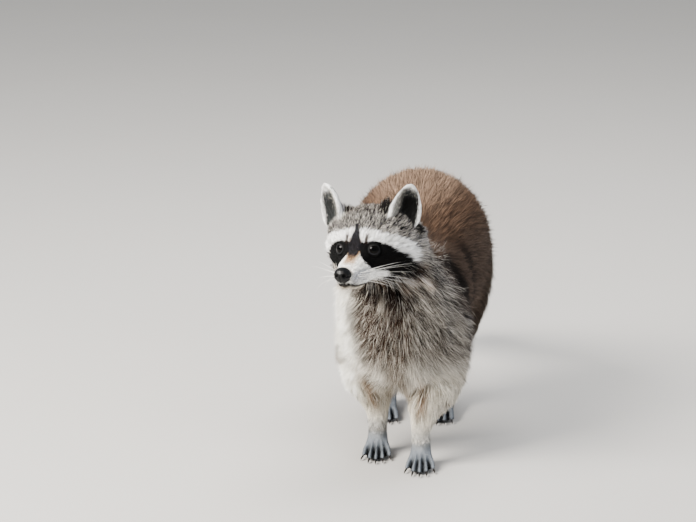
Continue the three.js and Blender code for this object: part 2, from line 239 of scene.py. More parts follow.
def plain_mesh(name, shape):
    """The mesh data of an editable mesh, which is then done with."""
    mesh = bpy.data.meshes.new(name)
    shape.to_mesh(mesh)
    shape.free()
    return mesh


class Surface:
    """A closed mesh as arrays, with the averages over neighbours that smoothing needs."""

    def __init__(self, mesh):
        self.points = rows_of(mesh.vertices, "co", 3)
        edges = rows_of(mesh.edges, "vertices", 2, np.int32)
        self.starts = np.concatenate([edges[:, 0], edges[:, 1]])
        self.ends = np.concatenate([edges[:, 1], edges[:, 0]])
        self.degree = np.maximum(np.bincount(self.starts, minlength=len(self.points)), 1)[:, None]
        mesh.calc_loop_triangles()
        self.triangles = rows_of(mesh.loop_triangles, "vertices", 3, np.int32)

    def average(self, values):
        """The mean of each vertex's neighbours."""
        count = len(self.points)
        sums = [np.bincount(self.starts, column[self.ends], count) for column in values.T]
        return np.stack(sums, 1) / self.degree

    def softened(self, values, rounds, amount=1.0):
        """Values spread over the surface. Amount, from 0 to 1, may differ from vertex to vertex."""
        for _ in range(rounds):
            values = values + 0.5 * amount * (self.average(values) - values)
        return values

    def normals(self, points):
        a, b, c = (points[self.triangles[:, k]] for k in range(3))
        facing = np.cross(b - a, c - a)
        total = np.zeros_like(points)
        for k in range(3):
            for axis in range(3):
                total[:, axis] += np.bincount(self.triangles[:, k], facing[:, axis], len(points))
        return unit(total)


def joined_flesh():
    """Every solid of flesh in one mesh, swelled a little so that the cuts between them close."""
    whole = bmesh.new()
    for name in FLESH:
        solid = welded(name)
        solid.normal_update()
        for vertex in solid.verts:
            vertex.co += vertex.normal * SEAM_SWELL
        part = plain_mesh("part", solid)
        whole.from_mesh(part)
        bpy.data.meshes.remove(part)
    return plain_mesh("flesh", whole)


def as_modified(thing):
    """A mesh of the object as its modifiers leave it."""
    graph = bpy.context.evaluated_depsgraph_get()
    return bpy.data.meshes.new_from_object(thing.evaluated_get(graph))


def remeshed(mesh, voxel):
    """The mesh's outside as one even grid of faces."""
    holder = linked("holder", mesh)
    step = holder.modifiers.new("grid", "REMESH")
    step.mode = "VOXEL"
    step.voxel_size = voxel
    step.adaptivity = 0
    result = as_modified(holder)
    bpy.data.objects.remove(holder)
    bpy.data.meshes.remove(mesh)
    return result


def nearest_solid(points):
    """For each point, the number in FLESH of the solid that it lies on."""
    corners, faces, owner = [], [], []
    for number, name in enumerate(FLESH):
        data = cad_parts[name].data
        first = len(corners)
        corners += [vertex.co for vertex in data.vertices]
        faces += [[first + v for v in polygon.vertices] for polygon in data.polygons]
        owner += [number] * len(data.polygons)
    tree = BVHTree.FromPolygons(corners, faces)
    owner = np.array(owner)
    return owner[[tree.find_nearest(point)[2] for point in points]]


def without_scraps(mesh):
    """The mesh's largest piece alone, without specks that the grid left in the cuts between solids."""
    shape = bmesh.new()
    shape.from_mesh(mesh)
    islands = []
    unseen = set(shape.verts)
    while unseen:
        island = [unseen.pop()]
        for vertex in island:
            for edge in vertex.link_edges:
                other = edge.other_vert(vertex)
                if other in unseen:
                    unseen.remove(other)
                    island.append(other)
        islands.append(island)
    islands.sort(key=len)
    scraps = [vertex for island in islands[:-1] for vertex in island]
    bmesh.ops.delete(shape, geom=scraps, context="VERTS")
    shape.to_mesh(mesh)
    shape.free()
    return mesh


body_mesh = without_scraps(remeshed(joined_flesh(), VOXEL))
body = Surface(body_mesh)
solid_of = nearest_solid(body.points)
kind_names = list(COATS)
kind_of_solid = np.array([kind_names.index(kind_of(name)) for name in FLESH])
kind = kind_of_solid[solid_of]


def on_kinds(*names):
    """True at the vertices of these kinds."""
    return np.isin(kind, [kind_names.index(name) for name in names])


def share_on(*names):
    """1 at the vertices of these kinds, and 0 elsewhere."""
    return on_kinds(*names).astype(float)


def on_solid(name):
    """True at the vertices of one solid."""
    return solid_of == FLESH.index(name)


def coat_values(field):
    """One of the coat's sizes at each vertex."""
    per_kind = np.array([float(getattr(COATS[name], field)) for name in kind_names])
    return per_kind[kind]


def smoothed_outline():
    """The outer surface without the solids' facets, kept at its full size."""
    amount = body.softened(coat_values("soften")[:, None], 12)
    soft = body.softened(body.points, SMOOTH_ROUNDS, amount)
    lost = body.softened(body.points - soft, SMOOTH_ROUNDS, amount)
    return soft + lost


TOE_FAN = 113 * MM  # from the tip of the middle toe back to where the toes' lines meet
TOE_ROOTS = (0.64, 0.72)  # where the gaps between toes begin, as shares of that
TOE_EDGE = (0.22, 0.4)  # where a toe ends and its gap begins, as shares of the way to the next toe
WEB_HEIGHT = 2.5 * MM  # what the gaps sink towards
WEB_SINK = 0.8  # how far they sink


def gaps_between_toes(points):
    """1 midway between two toes, 0 along a toe and on the rest of the body."""
    gap = np.zeros(len(points))
    for end in ("fore", "hind"):
        for side_name in SIDES:
            here = on_solid(f"{end}foot_{side_name}")
            claws = [np.array(box_centre(f"claw_{end}_{side_name}_{k}"))[:2] for k in range(1, 6)]
            ahead = unit(claws[2] - (claws[0] + claws[4]) / 2)
            fan = claws[2] - ahead * TOE_FAN
            angles = np.array([math.atan2(*(claw - fan)) % (2 * math.pi) for claw in claws])
            away = points[here, :2] - fan
            order = np.argsort(angles)
            turn = np.arctan2(away[:, 0], away[:, 1]) % (2 * math.pi)
            share = np.interp(turn, angles[order], order)
            reach = np.linalg.norm(away, axis=1)
            between_toes = ramp(np.abs(share - np.round(share)), *TOE_EDGE)
            gap[here] = between_toes * ramp(reach, TOE_FAN * TOE_ROOTS[0], TOE_FAN * TOE_ROOTS[1])
    return gap


outer = smoothed_outline()
toe_gap = gaps_between_toes(outer)
outer[:, 2] += toe_gap * WEB_SINK * np.minimum(WEB_HEIGHT - outer[:, 2], 0)
outer_normals = body.normals(outer)
outer_in_head = to_head(outer)
height = outer[:, 2] / MM


# All in millimetres: the coat's size at the front of the face with what it gains by the back of the
# cheeks, its size at the wrists, and the heights between which it grows from there to a leg's full size.
FACE_COAT = {"depth": (1.6, 9.5), "length": (5.5, 20)}
WRIST_COAT = {"depth": 1.0, "length": 5.0}
WRISTS = {"foreleg_lower": (38, 76), "hindleg_lower": (34, 86)}


def depth_and_length():
    """How deep the coat is, and how long its hairs are, at each vertex, in metres."""
    face = on_kinds("head")
    behind = ramp(outer_in_head[:, 1], 52, 108)
    grown = behind * (0.45 + 0.55 * fall(outer_in_head[:, 2], 5, 45))
    sizes = []
    for field, (short, more) in FACE_COAT.items():
        size = coat_values(field)
        size[face] = (short + more * grown)[face]
        for leg, (low, high) in WRISTS.items():
            here = on_kinds(leg)
            full = getattr(COATS[leg], field)
            size[here] = WRIST_COAT[field] + (full - WRIST_COAT[field]) * ramp(height, low, high)[here]
        sizes.append(size)
    both = np.exp(body.softened(np.log(np.stack(sizes, 1)), 30))
    return both[:, :1] * MM, both[:, 1:] * MM


coat_depth, hair_length = depth_and_length()


def skin_surface():
    """The outer surface drawn in by the depth of the coat, in small steps."""
    points = outer
    steps = 8
    for _ in range(steps):
        points = points - body.normals(points) * coat_depth / steps
        points = body.softened(points, 2, np.clip(coat_depth / (12 * MM), 0, 1))
    return points


skin = skin_surface()


# ---- the lie of the coat ----
def tail_line():
    """Points down the middle of the tail, from its root to its tip."""
    low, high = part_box("tail_1")
    root = Vector(((low.x + high.x) / 2, low.y, high.z - 30 * MM))
    low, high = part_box("tail_4")
    tip = Vector(((low.x + high.x) / 2 - 6 * MM, high.y, low.z + 32 * MM))
    return np.array([root] + [box_centre(name) for name in TAIL] + [tip])


TAIL_LINE = tail_line()


def along_tail(points):
    """How far down the tail each point is, from 0 to 1, with the tail's direction there."""
    steps = np.diff(TAIL_LINE, axis=0)
    lengths = np.linalg.norm(steps, axis=1)
    starts = np.concatenate([[0], np.cumsum(lengths)[:-1]])
    best = np.full(len(points), np.inf)
    place = np.zeros(len(points))
    heading = np.zeros_like(points)
    for start, step, size, base in zip(TAIL_LINE, steps, lengths, starts):
        share = np.clip(((points - start) @ step) / size**2, 0, 1)
        gap = np.linalg.norm(points - start - share[:, None] * step, axis=1)
        closer = gap < best
        best[closer] = gap[closer]
        place[closer] = (base + share * size)[closer]
        heading[closer] = step / size
    return place / lengths.sum(), heading


tail_place, tail_heading = along_tail(outer)


def wanted_lie():
    """The way the hair would point at each vertex, before it is laid on the surface."""
    x, y, _ = (outer / MM).T
    nx, ny, nz = outer_normals.T
    side = np.clip(x / 75, -1, 1)
    lie = np.zeros_like(outer)

    backward = columns(0, 1, -0.45 * (1 - np.abs(nz)))
    down_front = columns(1.1 * side, 0.25, -0.8)
    front = ramp(-ny, -0.15, 0.55)[:, None]
    front = front * fall(y, -190, -150)[:, None]
    trunk = on_kinds(*TRUNK, "neck", "foreleg_upper")
    lie[trunk] = (backward * (1 - front) + down_front * front)[trunk]

    from_nose = outer - np.array(box_centre("nose"))
    head = on_kinds("head", "muzzle", "lower_jaw")
    lie[head] = unit(from_nose)[head]
    sag = ramp(outer_in_head[:, 1], 80, 120) * fall(outer_in_head[:, 2], -10, 40)
    lie[head, 2] -= 0.5 * sag[head]

    for name in SIDES:
        here = on_solid("ear_" + name)
        lie[here] = ear_frame(name)[1][:, 2]

    legs = on_kinds("foreleg_lower", "hindleg_upper", "hindleg_lower")
    lie[legs] = columns(0.4 * nx, 0.2 + 0.2 * ny, -1)[legs]
    lie[on_kinds(*FEET)] = (0, -1, -0.35)
    tail = on_kinds("tail")
    lie[tail] = tail_heading[tail]
    return lie


def laid(vectors, normals):
    """Vectors turned to lie on the surface."""
    return unit(vectors - normals * dot(vectors, normals))


def combed():
    """The lie of the coat: laid on the surface, and eased from one part to the next."""
    lie = laid(wanted_lie(), outer_normals)
    for _ in range(12):
        lie = laid(body.softened(lie, 4), outer_normals)
    return lie


lie = combed()


# ---- markings, shared by the skin and the coat ----
class Paint:
    """Colours laid on points, in eight columns: those of each hair's middle and of its tip, then the shares
    of pale and of dark hairs."""

    def __init__(self, values):
        self.values = values
        self.mid, self.tip = values[:, :3], values[:, 3:6]
        self.pale, self.dark = values[:, 6:7], values[:, 7:]

    def lay(self, weight, mid, tip=None, pale=0.0, dark=0.0):
        """Covers what is there by a weight from 0 to 1, which may differ from point to point."""
        share = np.broadcast_to(weight, len(self.values))[:, None]
        colours = np.concatenate([tone(mid), tone(tip or mid), [pale, dark]])
        self.values += (colours - self.values) * share


def bare_paint(count):
    """Paint for so many points, with nothing laid on them."""
    return Paint(np.zeros((count, 8)))


# Each mark below is laid between places in millimetres, in the head's frame or in the animal's, and where
# the surface faces a given way. These are the mask's edges, going round the head: degrees out from the
# bridge of the nose, and heights.
MASK_TURN = (10, 16, 24, 34, 46, 62, 76, 90, 107, 122, 128, 136)
MASK_TOP = (26, 31, 30, 30, 30, 28, 24, 16, 6, -5, -10, -14)
MASK_FOOT = (23, 14, 8, 0, -3, -5, -6.5, -9.5, -15.5, -23, -26, -28)
BROW_TOP = (43, 44, 44, 44, 43, 41, 38, 35, 25, 9, 3, -4)
BAND_FOOT = (-10, -12, -14, -16, -18, -18, -18, -19, -25, -31, -33, -34)
HEAD_AXIS = 75  # how far behind the nose the middle of that turn is


def paint_head(lay, points, stray):
    """The face's markings at points given in the head's frame. Stray shifts each edge a little."""
    x, y, z = points.T
    side = np.abs(x)
    z = z + stray
    turn = np.degrees(np.arctan2(side, HEAD_AXIS - y))
    edges = (MASK_TOP, MASK_FOOT, BROW_TOP, BAND_FOOT)
    top, foot, brow, band = (np.interp(turn, MASK_TURN, edge) for edge in edges)
    ends = fall(turn, 118, 128)

    either = np.stack([side, y, z], 1)  # the same place on either side of the head
    lay(1, "#57555a", "#a9a7a8", 0.3, 0.28)
    crown = ramp(z, 36, 46) * fall(y, 100, 122)
    lay(crown, "#333136", "#66646a", 0.22, 0.42)
    lay(0.85 * ramp(z, 42, 58) * ramp(y, 76, 100), "#2b2422", "#50433d", 0.1, 0.36)
    cheek_end = between(z, -36, -14, 8) * between(turn, 120, 150, 12)
    lay(0.75 * cheek_end, "#55402d", "#94785c", 0.2, 0.2)
    behind_far = blob(points, (-35, 99, 68), (14, 20, 20))
    behind_near = blob(points, (23, 100, 66), (13, 20, 17))
    outside = blob(either, (61, 115, 38), (17, 23, 20))
    patches = np.maximum(np.maximum(behind_far, behind_near), outside)
    ear_foot = blob(either, (48, 89, 38), (14, 15, 12))
    lay(0.8 * ear_foot, "#262427", "#49474c", 0.12, 0.3)
    lay(0.95 * patches, "#120e0c", "#221c19", 0, 0.1)

    below = fall(z, band - 3, band + 1) * ramp(y, 50, 66) * fall(side, 20, 34)
    lay(0.9 * below * fall(y, 86, 112), "#1a1410", "#3d3026", 0.12, 0.2)
    lay(0.85 * blob(either, (26, 91, -30), (13, 13, 9)), "#15100d", "#2b211a", 0.1, 0.1)
    white_band = between(z, band, foot, 1.5) * fall(turn, 118, 130)
    lay(white_band, "#f0efec", "#ffffff", 0, 0.02)
    lay(0.8 * blob(either, (14, 79, -21), (12, 15, 8)), "#b9b6b1", "#efece6", 0, 0.1)
    lay(between(z, top, brow, 2.0) * ends, "#f5f4f1", "#ffffff", 0, 0.03)

    muzzle = fall(y, 44, 56) * fall(z, foot + 0.5, foot + 2)
    lay(muzzle, "#f0ede7", "#fffefb")
    bed = between(y, 8, 40, 8) * between(z, -11, 0, 3) * ramp(side, 8, 14)
    lay(0.7 * bed, "#8f94a0", "#c5c8d0", 0.1, 0.15)
    bridge_tan = between(side, 0, 5, 5) * between(z, 11, 22, 5) * ramp(y, 14, 26) * fall(y, 44, 54)
    lay(0.7 * bridge_tan, "#a17c55", "#c4a680")

    half = np.interp(z, (12, 17, 23, 30, 37, 43, 60), (2, 6, 7.5, 7.5, 5, 3.2, 4))
    stripe = fall(np.abs(x + 1), half - 1, half + 1) * ramp(z, 12, 18) * fall(z, 42, 55)
    rim = fall(np.abs(x + 1), half + 0.5, half + 3) * between(z, 14, 31, 5)
    lay(0.7 * rim * fall(y, 62, 70), "#8d6a48", "#ab8a66")
    mask = between(z, foot, top, 0.8) * ramp(turn, 9, 12) * fall(turn, 127, 134)
    lay(mask, "#030305", "#07070c")
    lay(0.98 * stripe, "#222127", "#35343c", 0, 0.1)
    spike = fall(np.abs(side - 12.5), 0.6, 3.0) * between(z, 29, 37, 3)
    lay(0.9 * spike, "#251913", "#46332a")

    lip = np.interp(y, (0, 8, 22, 45, 70), (-11, -12.5, -16.5, -18.5, -20.5))
    line = fall(np.abs(z - lip), 0.8, 2.6) * fall(y, 58, 68)
    chin = fall(z, lip - 2.5, lip - 1) * fall(y, 44, 60)
    lay(chin, "#cfc6b8", "#efe8dc")
    lay(line, "#12100e", "#15120f")
    lay(0.8 * fall(y, 7, 11) * fall(z, -14, -10), "#1e1b1a")


# The ears' hollows carry painted shade and light: the left one is near-black, partly painted shadow in its
# depth, and the right one catches the light and is painted lighter. Cover is how far across a hollow the pale
# hair reaches.
EAR_HOLLOW = {"left": ("#060505", "#0f0d0c"), "right": ("#2a2b2b", "#555858")}
EAR_COVER = {"left": (0.1, 0.6), "right": (-0.3, 0.35)}
EAR_HALF = 17.5  # mm, half the width of an ear


def paint_ear(lay, points, normals, name, here, stray):
    """White rim, grey back, and a dark hollow, partly painted shadow, with pale hair along its inner edge."""
    middle, axes = ear_frame(name)
    across, _, up = ((points - middle) @ axes / MM).T
    facing = -(normals @ axes[:, 1])
    low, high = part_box("ear_" + name)
    level = up / ((high.z - low.z) / MM) + 0.5 + 0.03 * stray
    half = EAR_HALF * np.sqrt(np.clip(1 - np.clip(level - 0.25, 0, 1) ** 2 / 0.62, 0.02, 1))
    out = np.abs(across) / half + 0.05 * stray
    inward = -across * SIDES[name] / EAR_HALF + 0.12 * stray
    lay(here, "#77757a", "#98969a", 0.2, 0.15)
    inside = ramp(facing, 0.05, 0.35)
    # the hollow: the ear's dark inside with painted shadow, painted lighter on the right ear where the light
    # falls
    lay(here * inside, *EAR_HOLLOW[name])
    lay(0.8 * here * inside * ramp(level, 0.66, 0.88), "#57595a", "#8b8c8c", 0.08, 0.2)
    pale = inside * ramp(inward, *EAR_COVER[name])
    lay(0.85 * here * pale, "#aeaca6", "#f0ede6", 0.12, 0.14)
    rim_from = np.where(inward > 0, 0.78, 0.86)
    rim = np.maximum(ramp(out, rim_from, rim_from + 0.12), ramp(level, 0.85, 0.94))
    lay(here * rim, "#eeedea", "#ffffff")


BAND_STEP = 66  # mm from one dark band on the flank to the next


def paint_body(lay, points, normals):
    """The trunk: brown and banded behind, grizzled grey in front, and white on the breast's far edge, partly
    pale fur and partly painted light where the key light falls.
    """
    places = points / MM
    x, y, z = places.T
    _, ny, nz = normals.T
    lay(1, "#564a41", "#74665c", 0, 0.3)
    sides = fall(z, 262, 296) * ramp(z, 120, 160) * fall(y, -130, -60)
    bands = 0.5 + 0.5 * np.sin(2 * np.pi * (y + 0.3 * (z - 200)) / BAND_STEP + 0.6)
    lay(0.96 * sides * ramp(bands, 0.25, 0.65), "#16110e", "#221a16", 0, 0.1)
    top = ramp(z, 228, 280)
    lay(0.9 * top, "#977d69", "#594a40", 0, 0.42)
    # painted highlight: the top of the back lighter, as if sunlit
    lay(0.6 * ramp(z, 280, 306), "#c5ac97", "#968373", 0, 0.36)
    lay(0.75 * fall(z, 105, 165) * ramp(y, -190, -150), "#5a4f46", "#82766b", 0.05, 0.15)
    under = ramp(-nz, 0.3, 0.8) * fall(z, 130, 190)
    lay(0.7 * under, "#8a7c6c", "#b3a594", 0.05, 0.1)

    uneven = 12 * np.sin(z / 15) + 8 * np.sin(z / 6.5 + x / 19)
    front = fall(y + 0.18 * (z - 150) + uneven, -236, -172)
    lay(front, "#363437", "#767477", 0.26, 0.32)
    mantle = front * ramp(z, 236, 262) * ramp(y, -252, -220)
    lay(mantle, "#64503f", "#8a7361", 0.08, 0.25)
    breast = front * ramp(-ny, 0.1, 0.6) * fall(z, 222, 240)
    lay(0.7 * breast, "#4a433b", "#8c8276", 0.3, 0.3)
    elbow = front * fall(z, 108, 140) * ramp(-ny, -0.6, 0.1)
    lay(0.92 * elbow, "#b8b2a8", "#f8f3e9", 0.3, 0.12)
    flat = np.stack([x, z], 1)
    brown = blob(flat, (-14, 178), (48, 74)) * breast
    lay(0.95 * brown, "#322217", "#563c26", 0.18, 0.3)
    seams = fall(np.abs(x + 6 + 0.1 * (z - 130)), 4, 18) * fall(z, 150, 175)
    lay(0.8 * seams * breast, "#37291e", "#67523e", 0.28, 0.25)
    # white on the breast's side towards the key light: partly pale fur, partly painted light
    forward = ramp(-ny, -0.5, -0.1) * ramp(-y, 172, 204)
    lit_white = front * ramp(-x - 9 * ramp(z, 140, 175), 41, 61) * forward
    lay(lit_white, "#f4f0e4", "#fffef8", 0, 0.02)
    throat = blob(places, (-14, -286, 214), (50, 40, 20))
    lay(0.9 * throat, "#1d140f", "#422f22", 0.08, 0.2)
    tuft = blob(flat, (-19, 200), (7, 12)) * front
    lay(0.6 * tuft, "#d8d0c2", "#f2ede2")
    nape = blob(places, (44, -262, 226), (22, 26, 26)) * front
    lay(0.8 * nape, "#221e20", "#4d494b", 0.2, 0.2)


def paint_forelegs(lay, points, normals, here):
    """Cream forelegs with a brown line down the front, turning grey at the wrist, and white on the side where
    the key light falls, partly painted light.
    """
    x, _, z = (points / MM).T
    nx, ny, _ = normals.T
    lay(here, "#aaa292", "#efe9dc", 0.2, 0.12)
    outer_side = ramp(nx, 0.3, 0.8) * ramp(x, 30, 50)
    lay(0.25 * here * outer_side, "#6b696a", "#c2c0be", 0.28, 0.2)
    middle = np.where(x > -5, np.interp(z, (50, 110), (26, 24)), np.interp(z, (50, 110), (-33, -42)))
    line = fall(np.abs(x - middle), 3, 11) * ramp(-ny, 0.2, 0.7) * between(z, 66, 130, 12)
    lay(0.85 * here * line, "#4c3625", "#8f7254", 0.12, 0.15)
    inside = fall(np.abs(x + 5), 6, 22) * ramp(z, 55, 75)
    lay(0.7 * here * inside, "#43352a", "#857159", 0.2, 0.1)
    # white on the foreleg's side towards the key light: partly pale fur, partly painted light
    lit_white = ramp(-x, 46, 60) * ramp(z, 55, 80) * ramp(-ny, -0.5, -0.1)
    lay(here * lit_white, "#f4f0e4", "#fffef8")
    back = ramp(ny, 0.1, 0.7)
    lay(0.7 * here * back, "#5f554c", "#8a7e72", 0.1, 0.1)
    lay(0.85 * here * fall(z, 44, 62), "#c9c2b4", "#e9e3d7")
    lay(0.6 * here * fall(z, 34, 54), "#acaeb0", "#c4c6c8")


def paint_feet(lay, points, normals, here):
    """Short pale grey hair, nearly black underneath and between the toes, where it is partly dark skin and
    partly painted shadow, and brown at the hind heels.
    """
    _, y, z = (points / MM).T
    lay(here, "#949aa1", "#a6abb1", 0.02, 0.03)
    lay(0.75 * here * ramp(z, 16, 36), "#b6b4ad", "#cfccc4")
    lay(0.85 * here * ramp(y, 20, 70) * ramp(z, 8, 26), "#5b534b", "#7f776d", 0, 0.1)
    flank = fall(normals[:, 2], -0.1, 0.3) * fall(z, 8, 16)
    lay(0.7 * here * flank, "#3b3a3c", "#55545a")
    # between the toes: partly the dark skin of the webs, partly painted shadow in the gaps
    lay(here * ramp(toe_gap, 0, 0.7), "#0a090a", "#111012")
    lay(here * ramp(-normals[:, 2], 0.3, 0.8), "#171516")


TAIL_RINGS = 6


def paint_tail(lay, place, here):
    """Dark rings on a buff tail, and a dark tip."""
    lay(here, "#97836b", "#b9a78f", 0.05, 0.12)
    wave = 0.5 + 0.5 * np.cos(2 * np.pi * (place * (TAIL_RINGS + 0.5) - 0.75))
    lay(here * ramp(wave, 0.45, 0.65), "#15100d", "#211813", 0.02)
    lay(here * ramp(place, 0.88, 0.93), "#120d0b", "#1c1512")


def markings():
    """The columns of paint at each vertex of the body, eased between its parts."""
    paint = bare_paint(len(outer))
    paint_body(paint.lay, outer, outer_normals)
    paint_forelegs(paint.lay, outer, outer_normals, share_on("foreleg_lower"))
    hind = share_on("hindleg_upper", "hindleg_lower")
    paint.lay(hind, "#463c35", "#65594e", 0, 0.2)
    paint.lay(hind * fall(height, 40, 75), "#6d655d", "#8f877e", 0, 0.1)
    paint = Paint(body.softened(paint.values, 10))
    paint_feet(paint.lay, outer, outer_normals, share_on(*FEET))
    paint_tail(paint.lay, tail_place, share_on("tail"))
    return body.softened(paint.values, 2)


body_paint = markings()


def share_of_head():
    """1 where the head's own markings hold, 0 on the body."""
    _, y, z = outer_in_head.T
    share = body.softened(share_on("head", "muzzle", "lower_jaw")[:, None], 14)[:, 0]
    ruff = on_kinds("neck") * fall(y, 118, 138) * ramp(z, -42, -32)
    return np.maximum(share, ruff)[:, None]


head_share = share_of_head()
ear_share = {
    name: body.softened(on_solid("ear_" + name).astype(float)[:, None], 1)
    for name in SIDES
}


def paint_at(nearest, points, stray=0.0):
    """The paint at points near the body, each with its nearest vertex."""
    face = bare_paint(len(points))
    paint_head(face.lay, to_head(points), stray)
    for name in SIDES:
        here = ear_share[name][nearest, 0]
        paint_ear(face.lay, points, outer_normals[nearest], name, here, stray)
    share = np.maximum(head_share, np.maximum(ear_share["left"], ear_share["right"]))[nearest]
    below = body_paint[nearest]
    return Paint(below + (face.values - below) * share)


# ---- materials ----
MARKS = "marks"  # the name of the colours painted on a mesh
SKIN_RELIEF = 0.4 * MM
FINE_RELIEF = 0.15 * MM


def tinted(shader, colour, spread, scale):
    """Links a colour, or the mesh's own marks, to the shader through a noise that varies it by spread."""
    nodes, links = shader.id_data.nodes, shader.id_data.links
    noise = nodes.new("ShaderNodeTexNoise")
    noise.inputs["Scale"].default_value = scale
    place = nodes.new("ShaderNodeTexCoord")
    links.new(place.outputs["Object"], noise.inputs["Vector"])
    level = nodes.new("ShaderNodeMapRange")
    level.inputs["To Min"].default_value = 1 - spread
    level.inputs["To Max"].default_value = 1 + spread
    links.new(noise.outputs["Fac"], level.inputs["Value"])
    mix = nodes.new("ShaderNodeVectorMath")
    mix.operation = "SCALE"
    links.new(level.outputs["Result"], mix.inputs["Scale"])
    if colour == MARKS:
        marks = nodes.new("ShaderNodeAttribute")
        marks.attribute_name = MARKS
        links.new(marks.outputs["Color"], mix.inputs[0])
    else:
        mix.inputs[0].default_value = tone(colour)
    links.new(mix.outputs["Vector"], shader.inputs["Base Color"])
    return noise


def bumped(shader, noise, strength, distance):
    """Links a noise to the shader as fine relief."""
    nodes, links = shader.id_data.nodes, shader.id_data.links
    bump = nodes.new("ShaderNodeBump")
    bump.inputs["Strength"].default_value = strength
    bump.inputs["Distance"].default_value = distance
    links.new(noise.outputs["Fac"], bump.inputs["Height"])
    links.new(bump.outputs["Normal"], shader.inputs["Normal"])


def new_material(name, colour, roughness, specular, spread, scale, bump=0.0, relief=FINE_RELIEF):
    """A finely mottled material. Its plain values sit on the shader's own sockets."""
    material = bpy.data.materials.new(name)
    material.use_nodes = True
    shader = material.node_tree.nodes["Principled BSDF"]
    shader.inputs["Roughness"].default_value = roughness
    shader.inputs["Specular IOR Level"].default_value = specular
    noise = tinted(shader, colour, spread, scale)
    if bump:
        bumped(shader, noise, bump, relief)
    return material


def hair():
    return new_material("hair", MARKS, roughness=0.68, specular=0.12, spread=0.12, scale=260)


def bare_skin():
    return new_material(
        "skin", MARKS, roughness=0.7, specular=0.2, spread=0.25, scale=900, bump=0.5, relief=SKIN_RELIEF
    )


def wet_eye():
    return new_material("eyeball", MARKS, roughness=0.03, specular=0.09, spread=0.2, scale=1500)


def nose_leather():
    return new_material(
        "nose_leather", "#030304", roughness=0.34, specular=0.24, spread=0.3, scale=1400, bump=0.7
    )


def whisker():
    return new_material("whisker", "#f6f4ee", roughness=0.4, specular=0.4, spread=0.06, scale=300)


def claw_horn():
    return new_material(
        "claw_horn", "#1c1816", roughness=0.4, specular=0.3, spread=0.3, scale=700, bump=0.2
    )


def studio_floor():
    return new_material("floor", FLOOR_TONE, roughness=0.85, specular=0.15, spread=0.02, scale=3)


hair_material = hair()
skin_material = bare_skin()
eye_material = wet_eye()
claw_material = claw_horn()


# ---- building mesh objects ----
def new_object(name, mesh, material, slot=None):
    """A smooth mesh as a piece of the scene, riding on the body where it has a slot."""
    piece = linked(name, mesh)
    mesh.materials.append(material)
    mesh.polygons.foreach_set("use_smooth", np.ones(len(mesh.polygons), bool))
    if slot:
        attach(piece, "root")
    return piece


def array_mesh(name, points, corners, sizes):
    """A mesh from points, the corners of its faces one after another, and each face's corner count."""
    mesh = bpy.data.meshes.new(name)
    mesh.vertices.add(len(points))
    put(mesh.vertices, "co", points)
    mesh.loops.add(len(corners))
    mesh.loops.foreach_set("vertex_index", corners.astype(np.int32))
    mesh.polygons.add(len(sizes))
    starts = np.concatenate([[0], np.cumsum(sizes)[:-1]])
    mesh.polygons.foreach_set("loop_start", starts.astype(np.int32))
    mesh.update(calc_edges=True)
    return mesh


DEEPEN = 1.34  # power that deepens the dark colours and leaves white alone


def set_marks(mesh, colours):
    """Keeps a colour at each vertex, for the materials to show."""
    layer = mesh.color_attributes.new(MARKS, "FLOAT_COLOR", "POINT")
    full = np.ones((len(colours), 4))
    full[:, :3] = np.clip(colours, 0, 1) ** DEEPEN
    put(layer.data, "color", full)


# ---- the skin ----
LID_STEPS = 40
LID_OPENING = (43, 34, 36)  # degrees from the gaze to the opening's corners, its top and its foot
LID_ROWS = ((0, 0.05), (2, 0.4), (9, 0.55), (24, 0.45), (42, -1.2))  # degrees out, mm over the ball
SKIN_SHADE = 0.75  # of the hair's colour, on the skin under it


def on_lid(side, turn, opening, proud):
    """Points over one eye: the turn round its opening, the degrees out from there, and mm over the ball."""
    middle = np.array(box_centre("eye_left" if side > 0 else "eye_right"))
    gaze = facing_out(side, LID_GAZE)
    level = unit(np.cross(gaze, HEAD_TURN[:, 2]))
    upright = np.cross(level, gaze)
    corner, top, foot = LID_OPENING
    wide = corner + opening
    high = np.where(np.sin(turn) > 0, top, foot) + opening
    reach = np.radians(wide * np.cos(turn) ** 2 + high * np.sin(turn) ** 2)[:, None]
    outward = level * np.cos(turn)[:, None] + upright * np.sin(turn)[:, None]
    point = gaze * np.cos(reach) + outward * np.sin(reach)
    return middle + point * (EYE_BALL + np.asarray(proud)[..., None] * MM)


def ring_faces(rows, around):
    """The faces between rows of points that each go once around."""
    faces = []
    for row in range(rows - 1):
        first, second = row * around, (row + 1) * around
        for step in range(around):
            after = (step + 1) % around
            faces.append((first + step, first + after, second + after, second + step))
    return np.array(faces)


def lid_points(side):
    """A ring of lid round one eye: rows of points from its opening out to under the skin."""
    turn = 2 * math.pi * np.arange(LID_STEPS) / LID_STEPS
    points = np.concatenate([on_lid(side, turn, opening, proud) for opening, proud in LID_ROWS])
    return points, ring_faces(len(LID_ROWS), LID_STEPS)


def build_skin():
    """One skin for all the flesh, with the lids round the eyes."""
    data = body_mesh
    put(data.vertices, "co", skin)
    data.update()
    paint = paint_at(np.arange(len(outer)), outer)
    set_marks(data, SKIN_SHADE * paint.mid)
    piece = new_object("skin", data, skin_material, "head")
    shrink = piece.modifiers.new("fewer", "DECIMATE")
    shrink.ratio = min(1.0, SKIN_TRIANGLES / len(body.triangles))
    light = as_modified(piece)
    piece.modifiers.clear()
    piece.data = light
    for side in (1, -1):
        add_lid(piece, side)
    return piece


